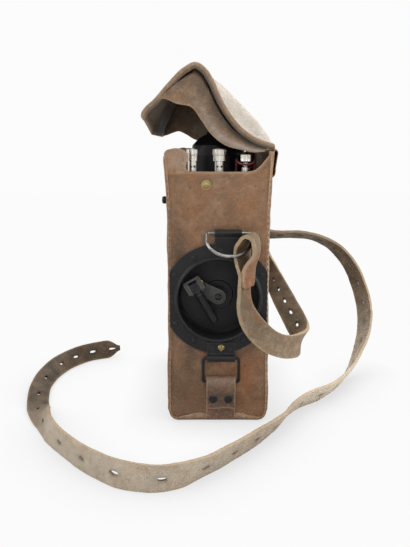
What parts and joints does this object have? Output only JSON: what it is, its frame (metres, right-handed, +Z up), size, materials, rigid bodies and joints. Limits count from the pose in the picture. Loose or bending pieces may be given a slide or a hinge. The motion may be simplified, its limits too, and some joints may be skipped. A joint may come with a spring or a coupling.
{
  "type": "field telephone",
  "caption": "Leather-cased magneto field telephone: lidded case with shoulder strap, folding hand crank in a round well, spring terminals, handset and bell ringer inside.",
  "frame": {"origin": "centre of the case's underside, on the surface that it stands on", "axes": "+Z up; -Y out of the narrow end that holds the crank; +X towards the lid's hinge"},
  "size_m": [0.3726, 0.3603, 0.3214],
  "materials": {
    "worn_leather": "worn tan leather, scuffed and greyed",
    "pale_leather": "pale worn edge leather",
    "strap_leather": "dry strap leather",
    "black_paint": "black stoving enamel, worn at the edges",
    "dark_steel": "dulled steel wire",
    "nickel": "nickel plate, lightly tarnished",
    "brass": "aged brass",
    "bakelite": "black moulded plastic",
    "red_covering": "dark red lead covering",
    "rubber": "black rubber",
    "zinc_steel": "zinc plated sheet",
    "magnet_steel": "dark magnet steel",
    "soft_iron": "machined iron",
    "wound_wire": "varnished wire winding",
    "bell_metal": "bell metal",
    "cell_can": "cell in a paper sleeve",
    "capacitor_can": "tinned can"
  },
  "bodies": {
    "case": {"case_strip": "worn_leather", "crank_end_wall": "worn_leather", "far_end_wall": "worn_leather", "hinge_strip": "worn_leather", "bottom_tab": "worn_leather", "tab_rivets": "black_paint", "crank_well": "black_paint", "flange_screws": "black_paint", "upper_bracket": "black_paint", "lower_bracket": "black_paint", "bracket_screw": "brass", "bracket_pins": "black_paint", "rear_bracket": "black_paint", "case_screw": "brass", "closure_stud": "black_paint", "chassis": "zinc_steel", "top_panel": "bakelite", "panel_screws": "nickel", "terminal_block": "bakelite", "post_sleeves": "nickel", "post_springs": "dark_steel", "red_lead": "red_covering", "cord_gland": "rubber", "generator_plates": "zinc_steel", "generator_magnets": "magnet_steel", "pole_pieces": "soft_iron", "ringer_frame": "zinc_steel", "ringer_coils": "wound_wire", "ringer_gongs": "bell_metal", "dry_cells": "cell_can", "battery_holder": "zinc_steel", "capacitor": "capacitor_can", "induction_coil": "wound_wire", "shoulder_strap": "strap_leather"},
    "lid": {"lid_panel": "worn_leather", "lid_gussets": "worn_leather", "lid_welts": "pale_leather", "snap_socket": "black_paint"},
    "crank": {"crank_shaft": "dark_steel", "crank_arm": "black_paint", "hub_screw": "dark_steel", "crank_fork": "dark_steel", "crank_pin": "brass", "drive_gear": "brass"},
    "crank_handle": {"handle_root": "dark_steel", "handle_grip": "bakelite"},
    "armature": {"armature_core": "soft_iron", "armature_winding": "wound_wire", "armature_pinion": "dark_steel"},
    "front_ring": {"front_ring": "dark_steel"},
    "rear_ring": {"rear_ring": "dark_steel"},
    "bottom_link": {"bottom_link": "black_paint"},
    "left_post": {"left_post_cap": "nickel"},
    "right_post": {"right_post_cap": "nickel"},
    "thumb_screw": {"thumb_screw": "nickel"},
    "handset": {"handset_body": "bakelite", "cup_covers": "bakelite", "capsules": "zinc_steel"},
    "talk_bar": {"talk_bar": "bakelite"},
    "clapper": {"clapper": "soft_iron"}
  },
  "joints": [
    {"name": "lid_hinge", "type": "hinge", "parent": "case", "child": "lid", "pos_m": [0.0488, 0, 0.2492], "axis": [0, 1, 0], "range_deg": [-24, 110]},
    {"name": "crank_turn", "type": "hinge", "parent": "case", "child": "crank", "pos_m": [0, -0.08, 0.1165], "axis": [0, 1, 0], "continuous": true},
    {"name": "handle_fold", "type": "hinge", "parent": "crank", "child": "crank_handle", "pos_m": [-0.02173, -0.092, 0.12781], "axis": [-0.8704, 0, -0.4924], "range_deg": [0, 90]},
    {"name": "armature_spin", "type": "hinge", "parent": "case", "child": "armature", "pos_m": [0, -0.03, 0.0805], "axis": [0, 1, 0], "continuous": true},
    {"name": "front_ring_swing", "type": "hinge", "parent": "case", "child": "front_ring", "pos_m": [0.009, -0.1014, 0.1765], "axis": [1, 0, 0], "range_deg": [-125, 38], "deforming": ["shoulder_strap"]},
    {"name": "rear_ring_swing", "type": "hinge", "parent": "case", "child": "rear_ring", "pos_m": [0.009, 0.1014, 0.1765], "axis": [1, 0, 0], "range_deg": [-24, 125], "deforming": ["shoulder_strap"]},
    {"name": "bottom_link_swing", "type": "hinge", "parent": "case", "child": "bottom_link", "pos_m": [0.0025, -0.1014, 0.0626], "axis": [1, 0, 0], "range_deg": [-2.5, 2.5]},
    {"name": "left_post_press", "type": "slide", "parent": "case", "child": "left_post", "axis": [0, 0, -1], "range_m": [0, 0.003], "stiffness_N_per_m": 800, "springref_m": -0.002},
    {"name": "right_post_press", "type": "slide", "parent": "case", "child": "right_post", "axis": [0, 0, -1], "range_m": [0, 0.003], "stiffness_N_per_m": 800, "springref_m": -0.002},
    {"name": "thumb_screw_turn", "type": "hinge", "parent": "case", "child": "thumb_screw", "pos_m": [0.024, -0.083, 0.24], "axis": [0, 0, 1], "range_deg": [0, 1080]},
    {"name": "handset_lift", "type": "slide", "parent": "case", "child": "handset", "axis": [0, 0, 1], "range_m": [0, 0.018]},
    {"name": "talk_press", "type": "slide", "parent": "handset", "child": "talk_bar", "axis": [0, 0, -1], "range_m": [0, 0.0018], "stiffness_N_per_m": 600, "springref_m": -0.002},
    {"name": "clapper_rock", "type": "hinge", "parent": "case", "child": "clapper", "pos_m": [0, 0.027, 0.152], "axis": [0, 1, 0], "range_deg": [-3, 3]}
  ],
  "couplings": [
    {"joint": "armature_spin", "follows": "crank_turn", "ratio": -5}
  ]
}
